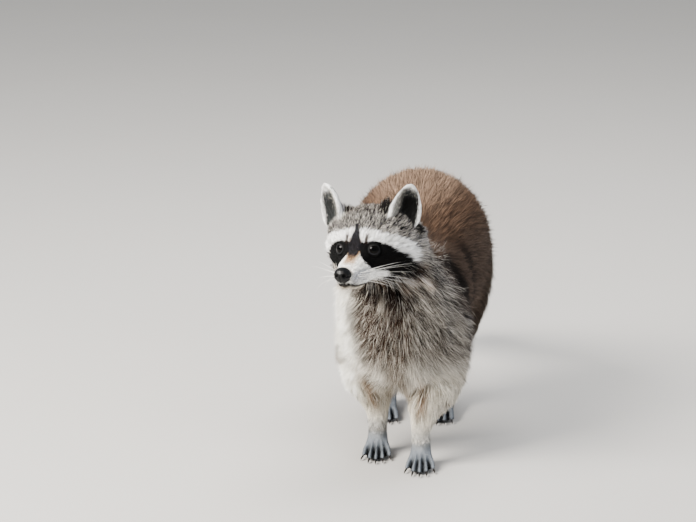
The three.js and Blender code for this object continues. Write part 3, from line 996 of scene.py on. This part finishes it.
def add_lid(piece, side):
    """Joins one eye's lid to the skin."""
    points, faces = lid_points(side)
    mesh = array_mesh("lid", points, faces.ravel(), np.full(len(faces), 4))
    colours = np.tile(tone("#060607"), (len(points), 1))
    lower_edge = np.arange(len(points)) % LID_STEPS > LID_STEPS / 2
    lower_edge &= np.arange(len(points)) < 2 * LID_STEPS
    colours[lower_edge] = tone("#25272d")
    set_marks(mesh, colours)
    lid = new_object("lid", mesh, skin_material)
    with bpy.context.temp_override(
        active_object=piece, selected_editable_objects=[piece, lid], selected_objects=[piece, lid]
    ):
        bpy.ops.object.join()


skin_piece = build_skin()
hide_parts(*FLESH)


# ---- the coat ----
def nearest_among(targets):
    """A function that gives, for each of some points, the number of the nearest target."""
    tree = KDTree(len(targets))
    for number, target in enumerate(targets):
        tree.insert(target, number)
    tree.balance()
    return lambda points: np.array([tree.find(point)[1] for point in points])


nearest_vertices = nearest_among(outer)


def unwrap():
    """For each vertex, its place on a wrap round its own solid: the turn round it, and the way along it."""
    places = np.zeros((len(outer), 2))
    for number, name in enumerate(FLESH):
        here = solid_of == number
        middle = np.array(box_centre(name))
        away = skin[here] - middle
        if kind_of(name) in TRUNK + ("neck", "head", "muzzle", "lower_jaw", "tail"):
            turn = np.arctan2(away[:, 0], away[:, 2])
            along = away[:, 1] - (away[:, 2] if kind_of(name) == "tail" else 0)
        else:
            turn = np.arctan2(away[:, 0], away[:, 1])
            along = away[:, 2]
        places[here, 0] = turn / (2 * np.pi) + 0.5
        places[here, 1] = (along - along.min()) / max(np.ptp(along), 1e-9)
    return places


wrap = unwrap()
HAIR_PLACES = (0.0, 0.5, 1.0)  # rows along a hair: its root, its middle and its tip
HAIR_WIDTHS = (0.8, 1.0)  # at the root and the middle
HAIR_FACES = ((0, 1, 3, 2), (2, 3, 4))
HAIR_TRIANGLES = 3
HAIR_PATCH = np.array([(0, 0), (1, 0), (0, 0.5), (1, 0.5), (0.5, 1)])  # a hair's corners on the bake map
PATCH = 0.003  # size of one hair on that map
ROOT_SINK = 0.3 * MM  # how far under the skin a hair starts
LEVEL = (0.4, 0.92)  # how far up through the coat the tips lie, as shares of its depth
PROUD = (0.15, 0.5)  # what a hair that stands proud adds to that
HOLD = (0.2, 0.75)  # how far each hair is drawn to its clump's leader
ROLL = math.radians(24)
TIP_REACH = 0.86  # how far along its lie a hair's tip comes, as a share of its length
BEND_REACH = 0.38  # and its bend
BEND_RISE = 0.55  # how high that is, as a share of the coat's depth
SEEN = (0.06, 0.38, 0.56)  # shares of its root, bend and tip in the place whose colour it takes
LOWEST = 0.2 * MM  # above the floor
PALE_HAIR = "#ebe5da"
DARK_HAIR = "#1a1513"


def areas_of(triangles):
    """The areas of triangles of the outer surface."""
    a, b, c = (outer[triangles[:, k]] for k in range(3))
    return np.linalg.norm(np.cross(b - a, c - a), axis=1) / 2


def spread_roots(triangles, count):
    """Roots spread over triangles, closer where hairs are short, as the corners round each and its shares."""
    areas = areas_of(triangles) / hair_length[triangles[:, 0], 0] ** 0.7
    picks = rng.choice(len(triangles), size=count, p=areas / areas.sum())
    first = rng.random(count)
    second = rng.random(count)
    over = first + second > 1
    first[over], second[over] = 1 - first[over], 1 - second[over]
    return triangles[picks], np.stack([1 - first - second, first, second], 1)


def blended(values, corners, shares):
    """Vertex values blended to points inside triangles."""
    return sum(values[corners[:, k]] * shares[:, k : k + 1] for k in range(3))


def turned(vectors, axes, angles):
    """Vectors turned about axes that they are square to."""
    return vectors * np.cos(angles)[:, None] + np.cross(axes, vectors) * np.sin(angles)[:, None]


def clumps(points, count):
    """Some of the points chosen to lead, and for each point the number of its nearest leader."""
    leaders = rng.choice(len(points), size=count, replace=False)
    return leaders, nearest_among(points[leaders])(points)


EAR_TUFTS = ((-36, 97, 62), (23, 100, 63))  # dark tufts that stand up behind the ears, in the head's frame
EAR_TUFT_SIZE = (14, 18, 14)
TUFT_RISE = 11 * MM


def grow(name, mask, triangles, slot):
    """One piece of the coat, of so many triangles, rooted where the mask holds."""
    ground = body.triangles[mask[body.triangles[:, 0]]]
    count = triangles // HAIR_TRIANGLES
    corners, shares = spread_roots(ground, count)
    home = corners[np.arange(count), shares.argmax(1)]
    fields = (skin, outer, outer_normals, coat_depth, hair_length, lie)
    root, over, normal, depth, length, way = (blended(field, corners, shares) for field in fields)
    normal = unit(normal)
    length *= rng.normal(1, 0.16, (count, 1)).clip(0.55, 1.45)
    fullness = 0.5 + 0.5 * (length[:, 0] / MM / coat_values("length")[home]).clip(0, 1)
    width = coat_values("width")[home] * MM * rng.uniform(0.7, 1.3, count) * fullness

    clump_size = np.median(coat_values("clump")[home]) * MM
    leaders, clump = clumps(over, max(8, int(areas_of(ground).sum() / clump_size**2)))
    wander = np.radians(coat_values("wander")[home])
    drift = rng.normal(0, 1, len(leaders))[clump] + 0.5 * rng.normal(0, 1, count)
    way = turned(laid(way, normal), normal, wander * drift)

    tip = over + way * length * TIP_REACH
    near = nearest_vertices(tip)
    lift = rng.uniform(*LEVEL, (count, 1))
    wispy = rng.random((count, 1)) < coat_values("wisps")[home][:, None]
    lift += wispy * rng.uniform(*PROUD, (count, 1))
    above = dot(tip - outer[near], outer_normals[near])
    tip -= outer_normals[near] * (above + coat_depth[near] * (1 - lift))
    for tuft in EAR_TUFTS:
        raised = blob(to_head(over), tuft, EAR_TUFT_SIZE) * on_kinds("head")[home]
        tip += raised[:, None] * TUFT_RISE * HEAD_TURN[:, 2]
    bend = root + normal * depth * BEND_RISE + way * length * BEND_REACH

    hold = rng.uniform(*HOLD, (count, 1)) * (1 - 0.6 * wispy)
    follow = leaders[clump]
    tip = tip + (tip[follow] - tip) * hold
    bend = bend + (bend[follow] + (root - root[follow]) * 0.6 - bend) * hold * 0.6

    seen = root * SEEN[0] + bend * SEEN[1] + tip * SEEN[2]
    paint = paint_at(nearest_vertices(seen), seen, rng.normal(0, 0.7, count))
    colours = hair_colours(paint, clump)
    curve = (root - normal * ROOT_SINK, bend, tip)
    build_hairs(name, curve, normal, width, colours, home, slot)


def hair_colours(paint, clump):
    """Each hair's colour at its rows: darker at the root as painted shade, its own tip, and a few pale or
    dark hairs.
    """
    count = len(clump)
    chance = rng.random((count, 1))
    shade = rng.normal(1, 0.13, clump.max() + 1)[clump][:, None] * rng.normal(1, 0.1, (count, 1))
    pale = (chance < paint.pale) * 0.8
    dark = (chance > 1 - paint.dark) * 0.8
    rows = []
    for place in HAIR_PLACES:
        colour = paint.mid + (paint.tip - paint.mid) * ramp(place, 0.4, 0.9)
        colour = colour + (tone(PALE_HAIR) - colour) * pale * ramp(place, 0.0, 0.5)
        colour = colour + (tone(DARK_HAIR) - colour) * dark
        # painted shade: each hair darkens towards its root, where the depth of the coat shades it
        colour = colour * (0.5 + 0.5 * ramp(place, -0.1, 0.55))
        rows.append(colour * shade.clip(0.6, 1.35))
    return rows


def build_hairs(name, curve, normal, width, colours, home, slot):
    """Flat tapered hairs along a curve from root to tip, as one mesh."""
    root, bend, tip = curve
    count = len(root)
    roll = rng.normal(0, ROLL, count)
    per_hair = len(HAIR_PATCH)
    points = np.empty((count, per_hair, 3))
    marks = np.empty((count, per_hair, 3))
    points[:, -1] = tip
    marks[:, -1] = colours[-1]
    for row, share in enumerate(HAIR_WIDTHS):
        place = HAIR_PLACES[row]
        middle = root * (1 - place) ** 2 + bend * 2 * place * (1 - place) + tip * place**2
        heading = unit((bend - root) * (1 - place) + (tip - bend) * place)
        across = turned(unit(np.cross(heading, normal)), heading, roll) * (width * share / 2)[:, None]
        points[:, 2 * row] = middle - across
        points[:, 2 * row + 1] = middle + across
        marks[:, 2 * row] = marks[:, 2 * row + 1] = colours[row]
    points[:, :, 2] = np.maximum(points[:, :, 2], LOWEST)

    corners = np.concatenate(HAIR_FACES)
    every_corner = (np.arange(count)[:, None] * per_hair + corners).ravel()
    sizes = np.tile([len(face) for face in HAIR_FACES], count)
    mesh = array_mesh(name, points.reshape(-1, 3), every_corner, sizes)
    set_marks(mesh, marks.reshape(-1, 3))

    spot = wrap[home] * (1 - 2 * PATCH) + PATCH
    layer = mesh.uv_layers.new(name="OFBake")
    on_map = spot[:, None, :] + (HAIR_PATCH[corners] - 0.5) * PATCH
    put(layer.uv, "vector", on_map)
    return new_object(name, mesh, hair_material, slot)


LID_HAIRS = 1500  # on each eye
LID_HAIR_WIDTH = 0.24 * MM
LID_HAIR_ROOTS = (3.5, 36)  # degrees out from the eye's opening
LID_HAIR_REACH = (14, 24)  # degrees from root to tip


def grow_lid_hairs():
    """Short black hair over the lids, combed away from each eye's opening, all but a thin bare edge."""
    parts = []
    for side in SIDES.values():
        turn = rng.uniform(0, 2 * math.pi, LID_HAIRS)
        opening = rng.uniform(*LID_HAIR_ROOTS, LID_HAIRS)
        proud = np.interp(opening, *zip(*LID_ROWS))
        swung = turn + rng.normal(0, 0.07, LID_HAIRS)
        root = on_lid(side, turn, opening, proud - 0.2)
        bend = on_lid(side, swung, opening + 9, proud + 0.45)
        tip = on_lid(side, swung, opening + rng.uniform(*LID_HAIR_REACH, LID_HAIRS), proud + 0.5)
        parts.append((root, bend, tip, unit(on_lid(side, turn, opening, proud + 1) - root)))
    root, bend, tip, normal = (np.concatenate(part) for part in zip(*parts))
    width = LID_HAIR_WIDTH * rng.uniform(0.7, 1.3, len(root))
    shades = rng.uniform(0.6, 1.4, (len(root), 1)) * tone("#08080a")
    colours = [shades] * len(HAIR_PLACES)
    build_hairs("coat_lids", (root, bend, tip), normal, width, colours, nearest_vertices(root), "head")


def grow_coat():
    head = on_kinds("head")
    front = outer_in_head[:, 1] < 84
    grow("coat_face", on_kinds("muzzle", "lower_jaw") | (head & front), 186_000, "head")
    grow_lid_hairs()
    grow("coat_crown", head & ~front, 165_000, "head")
    grow("coat_ears", on_kinds("ear"), 60_000, "ear")
    grow("coat_neck", on_kinds("neck"), 195_000, "breast")
    grow("coat_breast", on_kinds("chest"), 198_000, "breast")
    grow("coat_back", on_kinds("belly"), 150_000, "back")
    grow("coat_rump", on_kinds("rump"), 135_000, "back")
    grow("coat_forelegs", on_kinds("foreleg_upper", "foreleg_lower"), 180_000, "leg")
    grow("coat_hindlegs", on_kinds("hindleg_upper", "hindleg_lower"), 75_000, "leg")
    grow("coat_feet", on_kinds(*FEET), 55_000, "foot")
    grow("coat_tail", on_kinds("tail"), 90_000, "tail")


grow_coat()


# ---- eyes ----
# Degrees from the gaze over which each part of the eye ends.
PUPIL_EDGE = (20, 23)
IRIS_EDGE = (34, 40)
RIM_EDGE = (46, 50)


def build_eye(name):
    """A smooth ball in the place of the solid one, coloured by the angle from its gaze."""
    low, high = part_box("eye_" + name)
    middle = (low + high) / 2
    ball = bmesh.new()
    bmesh.ops.create_uvsphere(ball, u_segments=48, v_segments=64, radius=EYE_BALL)
    gaze = Vector(facing_out(SIDES[name], EYE_GAZE))
    ball.transform(Matrix.Translation(middle) @ gaze.to_track_quat("Z", "Y").to_matrix().to_4x4())
    mesh = plain_mesh("eye", ball)
    points = np.array([vertex.co for vertex in mesh.vertices])
    angle = np.degrees(np.arccos(np.clip((points - np.array(middle)) @ np.array(gaze) / EYE_BALL, -1, 1)))
    paint = bare_paint(len(points))
    paint.lay(1, "#27292f")
    paint.lay(fall(angle, *RIM_EDGE), "#040304")
    paint.lay(fall(angle, *IRIS_EDGE), "#0d0806")
    paint.lay(fall(angle, *PUPIL_EDGE), "#010101")
    set_marks(mesh, paint.mid)
    piece = new_object("eyeball_" + name, mesh, eye_material, "eye")
    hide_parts("eye_" + name)


for eye_side in SIDES:
    build_eye(eye_side)


# ---- nose ----
NOSE_GRID = 0.45 * MM  # size of its first faces
NOSE_SWELL = 1.2 * MM
NOSTRIL_DEPTH = 2.6 * MM
NOSE_SHIFT = HEAD_TURN @ np.array([-1.2, 0, -0.8]) * MM


def build_nose():
    """The bare leather of the nose, with a comma-shaped nostril on each side."""
    mesh = remeshed(plain_mesh("nose_source", welded("nose")), NOSE_GRID)
    surface = Surface(mesh)
    soft = surface.softened(surface.points, 14)
    soft = soft + surface.softened(surface.points - soft, 14)
    normals = surface.normals(soft)
    x, y, z = to_head(soft).T
    front = np.stack([np.abs(x), z], 1)
    hole = blob(front, (4.2, 0.8), (2.6, 2.3))
    slit = blob(front, (6.6, -0.6), (2.6, 1.2))
    groove = fall(np.abs(x), 0.2, 1.0) * fall(z, -1, 2) * 0.5
    sunk = np.maximum(np.maximum(hole, slit), groove) * fall(y, 8, 12)
    soft = soft + normals * (NOSE_SWELL - NOSTRIL_DEPTH * sunk)[:, None] + NOSE_SHIFT
    put(mesh.vertices, "co", soft)
    mesh.update()
    piece = new_object("nose_leather", mesh, nose_leather(), "nose")
    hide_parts("nose")


build_nose()


# ---- whiskers ----
WHISKERS_A_SIDE = 15
WHISKERS_A_ROW = 5
WHISKER_LENGTH = (38, 78)  # mm
WHISKER_THICKNESS = 0.36 * MM
TUBE_SIDES = 5


def tapered_tube(line):
    """Points and faces of a round whisker that narrows to its tip."""
    ahead = np.gradient(line, axis=0)
    first = unit(np.cross(ahead, (0.3, 0.2, 1.0)))
    second = unit(np.cross(ahead, first))
    radius = WHISKER_THICKNESS / 2 * np.linspace(1, 0.08, len(line))
    angle = 2 * math.pi * np.arange(TUBE_SIDES)[:, None] / TUBE_SIDES
    outward = first[:, None] * np.cos(angle) + second[:, None] * np.sin(angle)
    points = line[:, None] + outward * radius[:, None, None]
    return points.reshape(-1, 3), ring_faces(len(line), TUBE_SIDES)


def build_whiskers():
    """Rows of whiskers that sweep back along the cheeks from the whisker beds."""
    points, faces, total = [], [], 0
    for side in SIDES.values():
        for number in range(WHISKERS_A_SIDE):
            row, column = divmod(number, WHISKERS_A_ROW)
            start = np.array([side * (13.5 + 1.1 * column), 15 + 5.0 * column, -1.0 - 3.4 * row])
            start[1:] += rng.normal(0, 0.9, 2)
            out = unit(np.array([side * (0.85 - 0.07 * column), 0.5 + 0.1 * column, 0.08 - 0.14 * row]))
            out = unit(out + rng.normal(0, 0.07, 3))
            length = rng.uniform(*WHISKER_LENGTH)
            place = np.linspace(0, 1, 12)[:, None]
            line = start + out * length * place
            line += np.array([-side * 7, 10, -8 - 3 * row]) * place**2 * length / 55
            tube, tube_faces = tapered_tube(from_head(line))
            points.append(tube)
            faces.append(tube_faces + total)
            total += len(tube)
    faces = np.concatenate(faces)
    mesh = array_mesh("whiskers", np.concatenate(points), faces.ravel(), np.full(len(faces), 4))
    new_object("whiskers", mesh, whisker(), "muzzle")


build_whiskers()


# ---- claws ----
for node_name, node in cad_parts.items():
    if node_name.startswith("claw_"):
        node.data.materials.clear()
        node.data.materials.append(claw_material)


# ---- floor, light and camera ----
def build_floor():
    """A plain pale floor that runs out of sight."""
    bpy.ops.mesh.primitive_plane_add(size=FLOOR_SIZE, location=(0, 0, 0))
    floor = bpy.context.object
    floor.name = "floor"
    floor.data.materials.append(studio_floor())


def add_light(name, place, aim, size, power, colour):
    """A soft rectangular lamp that faces its aim."""
    data = bpy.data.lights.new(name, "AREA")
    data.shape = "RECTANGLE"
    data.size, data.size_y = size
    data.energy = power
    data.color = tone(colour)
    lamp = linked(name, data)
    lamp.location = place
    lamp.rotation_euler = (Vector(aim) - Vector(place)).to_track_quat("-Z", "Y").to_euler()
    return lamp


def build_light():
    """A large soft key from the upper left, a weak fill, and a pale even surround."""
    middle = box_centre("chest")
    add_light("key", (-1.7, -1.5, 1.9), middle, (1.6, 1.2), 300, "#fffaf2")
    add_light("fill", (1.9, -1.7, 1.1), middle, (1.6, 1.4), 26, "#eef3ff").visible_glossy = False
    add_light("top", (0.2, 0.7, 2.3), middle, (1.6, 1.6), 85, "#ffffff").visible_glossy = False
    world = bpy.data.worlds.new("surround")
    world.use_nodes = True
    back = world.node_tree.nodes["Background"]
    back.inputs["Color"].default_value = (*tone("#e8edf2"), 1)
    back.inputs["Strength"].default_value = 0.8
    bpy.context.scene.world = world


def build_camera():
    """The camera where the photo was taken from, with the photo's framing."""
    turn, rise = math.radians(CAMERA_TURN), math.radians(CAMERA_RISE)
    back = Vector((math.sin(turn) * math.cos(rise), -math.cos(turn) * math.cos(rise), math.sin(rise)))
    data = bpy.data.cameras.new("camera")
    data.sensor_width = SENSOR
    data.sensor_fit = "HORIZONTAL"
    data.lens = LENS
    camera = linked("camera", data)
    camera.location = box_centre("nose") + CAMERA_FROM_NOSE
    camera.rotation_euler = (-back).to_track_quat("-Z", "Y").to_euler()
    bpy.context.scene.camera = camera


build_floor()
build_light()
build_camera()
